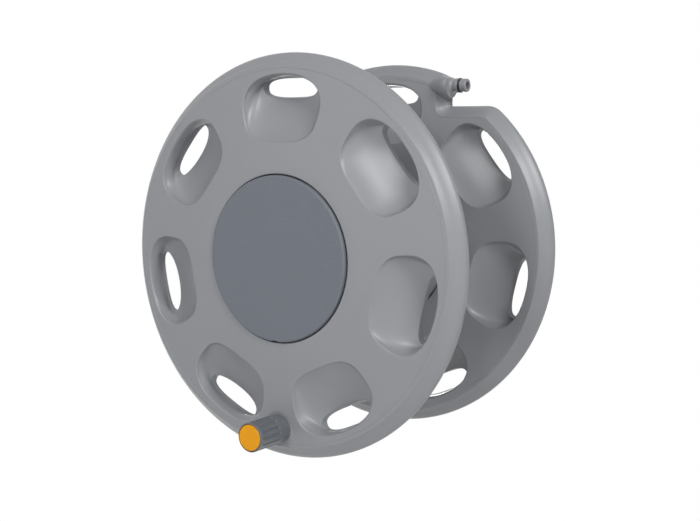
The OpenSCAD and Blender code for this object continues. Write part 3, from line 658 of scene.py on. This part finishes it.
def knob_mesh():
    """The winding knob: flutes that fade out at both ends, a rounded outer edge and the end cap's seat."""
    depth, half, fade = 1.15, 1.4, 1.6
    low, high = KNOB_BASE + KNOB_LEN * FLUTES_FROM, KNOB_TOP - KNOB_LEN * (1 - FLUTES_TO)
    edge = 0.9
    seat_r = END_CAP_R + 0.8
    well = KNOB_TOP - KNOB_WELL_DEEP

    def fluted(angle, r, h):
        if r < KNOB_R - 0.01 or h <= low or h >= high:
            return np.full(len(angle), r)
        along = (angle * FLUTES / (2 * np.pi) + 0.5) % 1.0 - 0.5
        across = np.abs(along) * 2 * np.pi * KNOB_R / FLUTES
        cut = np.clip(1 - (across / half) ** 2, 0, 1) ** 0.7
        ends = min(1.0, math.sqrt(min(h - low, high - h) / fade))
        return r - depth * cut * ends

    fading = (0.01, 0.15, 0.45, 0.9, fade)
    levels = [low] + [low + x for x in fading] + [high - x for x in fading[::-1]] + [high]
    profile = [(KNOB_BORE_R, KNOB_BASE), (KNOB_R - 0.6, KNOB_BASE), (KNOB_R - 0.15, KNOB_BASE + 0.2),
               (KNOB_R, KNOB_BASE + 0.6)]
    profile += [(KNOB_R, z) for z in levels]
    profile += arc(KNOB_R - edge, KNOB_TOP - edge, edge, 0, 90)
    profile += [(seat_r + 0.05, KNOB_TOP), (seat_r, KNOB_TOP - 0.1), (seat_r, KNOB_TOP - END_CAP_DEEP),
                (KNOB_WELL_R, KNOB_TOP - END_CAP_DEEP), (KNOB_WELL_R, well), (KNOB_BORE_R, well)]
    return turned_piece("knob_body", profile, KNOB_PLACE, n=FLUTES * 18, radius=fluted)


def end_cap_mesh():
    """The knob's end cap: a rounded disc on a hollow plug. At the axis its skin all but closes."""
    base = KNOB_TOP - END_CAP_DEEP
    top = base + 2.4
    plug_in, plug_out, plug_len = 6.6, KNOB_WELL_R - 0.15, 5
    edge, skin, axis_r = 0.9, 1.2, 0.02
    profile = [(plug_in, base - plug_len), (plug_out, base - plug_len), (plug_out, base), (END_CAP_R, base),
               (END_CAP_R, top - edge)]
    profile += arc(END_CAP_R - edge, top - edge, edge, 0, 90)
    profile += [(axis_r, top), (axis_r, top - skin), (plug_in, top - skin)]
    return turned_piece("knob_cap", profile, KNOB_PLACE, n=128)


def pin_boss_mesh():
    """The boss behind the knob's seat that holds the handle pin."""
    end, edge = KNOB_SEAT - PIN_BOSS_LEN, 0.4
    start = KNOB_SEAT - 1.2
    profile = [(PIN_BOSS_BORE_R, end), (PIN_BOSS_R - edge, end), (PIN_BOSS_R, end + edge),
               (PIN_BOSS_R, start), (PIN_BOSS_BORE_R, start)]
    return turned_piece("knob_pin_boss", profile, KNOB_PLACE, n=64)


def cap_mesh():
    """The centre cap's cover with its bevelled edge and the small hollow for prying it off at the bottom."""
    top = FRONT_FACE + CAP_PROUD
    under = top - 4.4
    plain_r = CAP_R - 6.5
    hollow_at, hollow_r = CAP_R + 3.0, 6.0

    def notched(angle, r, h):
        if r < CAP_R - 6:
            return np.full(len(angle), r)
        down = -np.sin(angle)
        size = hollow_r - (CAP_R - r)
        side = hollow_at * np.cos(angle)
        inner = hollow_at * down - np.sqrt(np.maximum(size * size - side ** 2, 0))
        hit = (down > 0) & (np.abs(side) < size)
        return np.where(hit, np.minimum(r, inner), r)

    profile = [(0, under), (plain_r, under), (CAP_R - 0.2, under), (CAP_R, under + 0.2)]
    profile += arc(CAP_R - CAP_BEVEL, top - CAP_BEVEL, CAP_BEVEL, 0, 90, 9)
    profile += [(CAP_R - 2.6, top), (CAP_R - 4.5, top), (plain_r, top), (60, top), (30, top), (0, top)]
    return turned_piece("cap_cover", profile, n=720, radius=notched)


def nipple_mesh():
    """The inlet's quick-connect end: collar, hollow-curved neck, ridge, ring groove and tip, with its bore.
    Heights count from the boss's end."""
    r_bore, r_root, r_collar, r_neck, r_ridge, r_groove, r_tip = 4.0, 6.75, 13.55, 6.3, 7.9, 5.8, 7.2
    base = 0.3
    collar_end, neck_end = base + 1.2, base + 5.7
    ridge_end, groove_end, tip_end = base + 11.0, base + 13.6, base + 20.8
    neck_from = 12.9
    profile = [(r_bore, -11), (r_root, -11), (r_root, base), (r_collar - 0.35, base), (r_collar, base + 0.15),
               (r_collar, base + 0.75), (r_collar - 0.3, base + 1.05), (neck_from, collar_end)]
    profile += [(neck_from - (neck_from - r_neck) * math.sin(a), collar_end + 4.3 * (1 - math.cos(a)))
                for a in np.radians(np.linspace(6, 90, 15))]
    profile += [(r_neck, neck_end), (r_ridge - 0.35, neck_end + 1.4), (r_ridge - 0.05, neck_end + 1.7),
                (r_ridge, neck_end + 2.0), (r_ridge, ridge_end - 0.4), (r_ridge - 0.3, ridge_end - 0.05),
                (r_groove, ridge_end), (r_groove, groove_end), (r_tip - 0.2, groove_end),
                (r_tip, groove_end + 0.2)]
    profile += arc(r_tip - 1.2, tip_end - 1.2, 1.2, 0, 90, 7)
    profile += [(r_bore + 0.6, tip_end), (r_bore + 0.15, tip_end - 0.15), (r_bore, tip_end - 0.6)]
    return turned_piece("inlet_end", profile, INLET_PLACE, ACROSS, limit_to=neck_end + 0.5)


def boss_mesh():
    """The inlet's boss: a pointed body that grows out of the flange's edge and is trimmed at the rim."""
    tip, grown = 0.4, 0.78
    profile = [(0, 0), (BOSS_R * tip, 0)]
    for s in np.linspace(0.1, 1, 9):
        profile.append((BOSS_R * (tip + (1 - tip) * s ** 0.85), BOSS_LEN * grown * s))
    profile += [(BOSS_R, BOSS_LEN - 1.1), (BOSS_R - 0.35, BOSS_LEN - 0.4), (BOSS_R - 0.9, BOSS_LEN),
                (0, BOSS_LEN)]
    place = (BOSS_END - BOSS_LEN, INLET_Z, INLET_OUT)
    return turned_piece("inlet_boss", profile, place, ACROSS, limit_to=BOSS_LEN + 1)


# Materials


CLOUD_SCALE = 14.0
CLOUDING = 0.03
ROUGHNESS_SPREAD = 0.05


def linear(r, g, b):
    """An sRGB colour, 0 to 255, as linear light."""
    return tuple(((c / 255 + 0.055) / 1.055) ** 2.4 for c in (r, g, b))


def noise(nodes, scale, detail):
    """A noise texture node."""
    node = nodes.new("ShaderNodeTexNoise")
    node.inputs["Scale"].default_value = scale
    node.inputs["Detail"].default_value = detail
    return node


def spread(nodes, middle, reach):
    """A node that turns a value from 0 to 1 into one within reach of the middle."""
    node = nodes.new("ShaderNodeMapRange")
    node.inputs["To Min"].default_value = middle - reach
    node.inputs["To Max"].default_value = middle + reach
    return node


def moulded(name, color, roughness, grain_size, grain_depth, specular=0.5):
    """A moulded surface: colour with faint clouding, roughness that varies with it, and a grain in the bump.
    The grain's size and depth are in millimetres."""
    mat = bpy.data.materials.new(name)
    mat.use_nodes = True
    nodes, links = mat.node_tree.nodes, mat.node_tree.links
    shader = nodes["Principled BSDF"]
    coords = nodes.new("ShaderNodeTexCoord")
    cloud = noise(nodes, CLOUD_SCALE, 3.0)
    links.new(coords.outputs["Object"], cloud.inputs["Vector"])
    shift = spread(nodes, 1.0, CLOUDING)
    links.new(cloud.outputs["Fac"], shift.inputs["Value"])
    tint = nodes.new("ShaderNodeVectorMath")
    tint.operation = "SCALE"
    tint.inputs[0].default_value = color
    links.new(shift.outputs["Result"], tint.inputs["Scale"])
    links.new(tint.outputs["Vector"], shader.inputs["Base Color"])
    rough = spread(nodes, roughness, ROUGHNESS_SPREAD)
    links.new(cloud.outputs["Fac"], rough.inputs["Value"])
    links.new(rough.outputs["Result"], shader.inputs["Roughness"])
    grain = noise(nodes, 1.0 / (grain_size * MM), 4.0)
    links.new(coords.outputs["Object"], grain.inputs["Vector"])
    bump = nodes.new("ShaderNodeBump")
    bump.inputs["Strength"].default_value = 0.6
    bump.inputs["Distance"].default_value = grain_depth * MM
    links.new(grain.outputs["Fac"], bump.inputs["Height"])
    links.new(bump.outputs["Normal"], shader.inputs["Normal"])
    shader.inputs["Specular IOR Level"].default_value = specular
    return mat


def bright_steel():
    """The screws, washers and pins."""
    mat = moulded("steel", linear(180, 182, 185), 0.3, 0.5, 0.02)
    mat.node_tree.nodes["Principled BSDF"].inputs["Metallic"].default_value = 1.0
    return mat


def dress(obj, material):
    """Gives an object one material."""
    obj.data.materials.clear()
    obj.data.materials.append(material)


# Camera, world, floor and lamps


AIM = (0.0, -0.15, 0.0)
WORLD_LEVEL = 0.02
FLOOR_HALF = 6.0
FLOOR_Z = -0.62


def add_camera():
    """The camera of the photograph."""
    camera = bpy.data.cameras.new("camera")
    camera.lens = LENS_MM
    camera.sensor_width = SENSOR_MM
    camera.clip_end = 50
    obj = bpy.data.objects.new("camera", camera)
    yaw, pitch, roll = (math.radians(a) for a in (CAMERA_YAW, CAMERA_PITCH, CAMERA_ROLL))
    forward = Vector((math.sin(yaw) * math.cos(pitch), math.cos(yaw) * math.cos(pitch), math.sin(pitch)))
    level = forward.cross(Vector((0, 0, 1))).normalized()
    rise = level.cross(forward)
    right = math.cos(roll) * level + math.sin(roll) * rise
    up = -math.sin(roll) * level + math.cos(roll) * rise
    turn = Matrix((right, up, -forward)).transposed().to_4x4()
    obj.matrix_world = Matrix.Translation(Vector(CAMERA_AT) * MM) @ turn
    bpy.context.scene.collection.objects.link(obj)
    bpy.context.scene.camera = obj


def seen_directly(nodes, links):
    """One where the camera, or a mirror-like or clear surface in its view, looks at the backdrop."""
    path = nodes.new("ShaderNodeLightPath")
    total = path.outputs["Is Camera Ray"]
    for kind in ("Is Glossy Ray", "Is Transmission Ray"):
        either = nodes.new("ShaderNodeMath")
        either.operation = "MAXIMUM"
        links.new(total, either.inputs[0])
        links.new(path.outputs[kind], either.inputs[1])
        total = either.outputs["Value"]
    return total


def add_world():
    """White where it is seen, and a faint even light elsewhere."""
    world = bpy.data.worlds.new("studio")
    bpy.context.scene.world = world
    world.use_nodes = True
    nodes, links = world.node_tree.nodes, world.node_tree.links
    nodes.clear()
    out = nodes.new("ShaderNodeOutputWorld")
    mix = nodes.new("ShaderNodeMixShader")
    soft = nodes.new("ShaderNodeBackground")
    white = nodes.new("ShaderNodeBackground")
    soft.inputs["Color"].default_value = (0.9, 0.95, 1.0, 1)
    soft.inputs["Strength"].default_value = WORLD_LEVEL
    white.inputs["Color"].default_value = (1, 1, 1, 1)
    white.inputs["Strength"].default_value = 1.0
    links.new(seen_directly(nodes, links), mix.inputs["Fac"])
    links.new(soft.outputs["Background"], mix.inputs[1])
    links.new(white.outputs["Background"], mix.inputs[2])
    links.new(mix.outputs["Shader"], out.inputs["Surface"])


def add_floor():
    """A floor that is white where it is seen and throws soft light up from below."""
    mesh = bpy.data.meshes.new("floor")
    s, z = FLOOR_HALF, FLOOR_Z
    mesh.from_pydata([(-s, -s, z), (s, -s, z), (s, s, z), (-s, s, z)], [], [(0, 1, 2, 3)])
    floor = bpy.data.objects.new("floor", mesh)
    bpy.context.scene.collection.objects.link(floor)
    mat = bpy.data.materials.new("floor")
    mat.use_nodes = True
    nodes, links = mat.node_tree.nodes, mat.node_tree.links
    shader = nodes["Principled BSDF"]
    shader.inputs["Base Color"].default_value = (0.86, 0.86, 0.86, 1)
    shader.inputs["Roughness"].default_value = 0.9
    white = nodes.new("ShaderNodeEmission")
    white.inputs["Color"].default_value = (1, 1, 1, 1)
    white.inputs["Strength"].default_value = 1.0
    mix = nodes.new("ShaderNodeMixShader")
    links.new(seen_directly(nodes, links), mix.inputs["Fac"])
    links.new(shader.outputs["BSDF"], mix.inputs[1])
    links.new(white.outputs["Emission"], mix.inputs[2])
    links.new(mix.outputs["Shader"], nodes["Material Output"].inputs["Surface"])
    dress(floor, mat)


def soft_box(name, at, size, watts):
    """A square lamp at a place, aimed at the reel; metres and watts."""
    light = bpy.data.lights.new(name, "AREA")
    light.shape = "SQUARE"
    light.size = size
    light.energy = watts
    obj = bpy.data.objects.new(name, light)
    obj.location = at
    obj.rotation_euler = (Vector(AIM) - Vector(at)).to_track_quat("-Z", "Y").to_euler()
    bpy.context.scene.collection.objects.link(obj)


# The scene


def add_piece(obj, body, slot):
    """A piece that rides on a body, with the finish of a material slot."""
    dress(obj, materials[slot])
    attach(obj, body)


def stand_for(obj, body, node, slot):
    """A piece that is seen in place of a node of the frame."""
    dress(obj, materials[slot])
    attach(obj, body)
    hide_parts(node)


bpy.context.scene.view_settings.view_transform = "Standard"
add_camera()
add_world()
add_floor()

materials = {
    "flange_grey": moulded("flange_grey", linear(150, 152, 156), 0.36, 0.7, 0.03),
    "cap_slate": moulded("cap_slate", linear(112, 117, 126), 0.5, 1.3, 0.7),
    "knob_grey": moulded("knob_grey", linear(111, 114, 120), 0.42, 0.7, 0.03),
    "cap_yellow": moulded("cap_yellow", linear(248, 168, 0), 0.35, 0.9, 0.02, specular=0.3),
    # inner_grey is painted shade: the parts inside the drum get a darker grey, the level of the shade that
    # falls between the flanges.
    "inner_grey": moulded("inner_grey", linear(84, 87, 91), 0.5, 0.8, 0.04),
    "seal_black": moulded("seal_black", linear(20, 21, 22), 0.4, 0.6, 0.02),
    "slip_white": moulded("slip_white", linear(222, 220, 212), 0.4, 0.8, 0.02),
    "steel": bright_steel(),
}
for part in frame["record"]["subparts"]:
    dress(frame["nodes"][part["node"]], materials[part["material_slot"]])

stand_for(front_flange(), "drum", "front_flange", "flange_grey")
stand_for(rear_flange(), "mounting", "rear_flange", "flange_grey")
stand_for(cap_mesh(), "drum", "centre_cap", "cap_slate")
stand_for(knob_mesh(), "knob", "winding_knob", "knob_grey")
stand_for(end_cap_mesh(), "knob", "knob_end_cap", "cap_yellow")
stand_for(nipple_mesh(), "mounting", "inlet_nipple", "flange_grey")
add_piece(boss_mesh(), "mounting", "flange_grey")
add_piece(ribs("front_flange_ribs", 0, FRONT_RIM), "drum", "flange_grey")
add_piece(ribs("rear_flange_ribs", 1, REAR_RIM), "mounting", "flange_grey")
add_piece(pin_boss_mesh(), "drum", "flange_grey")

soft_box("side_top", (2.25, -1.20, 1.65), 1.0, 43)
soft_box("key", (0.25, -2.80, 1.30), 0.7, 28)
soft_box("front", (0.3, -3.15, 0.0), 1.6, 4)
soft_box("left", (-1.5, -2.7, 0.3), 1.6, 5)
soft_box("low_right", (2.2, -1.9, -0.7), 1.4, 5)
soft_box("behind", (-1.3, 2.7, -0.35), 1.6, 60)
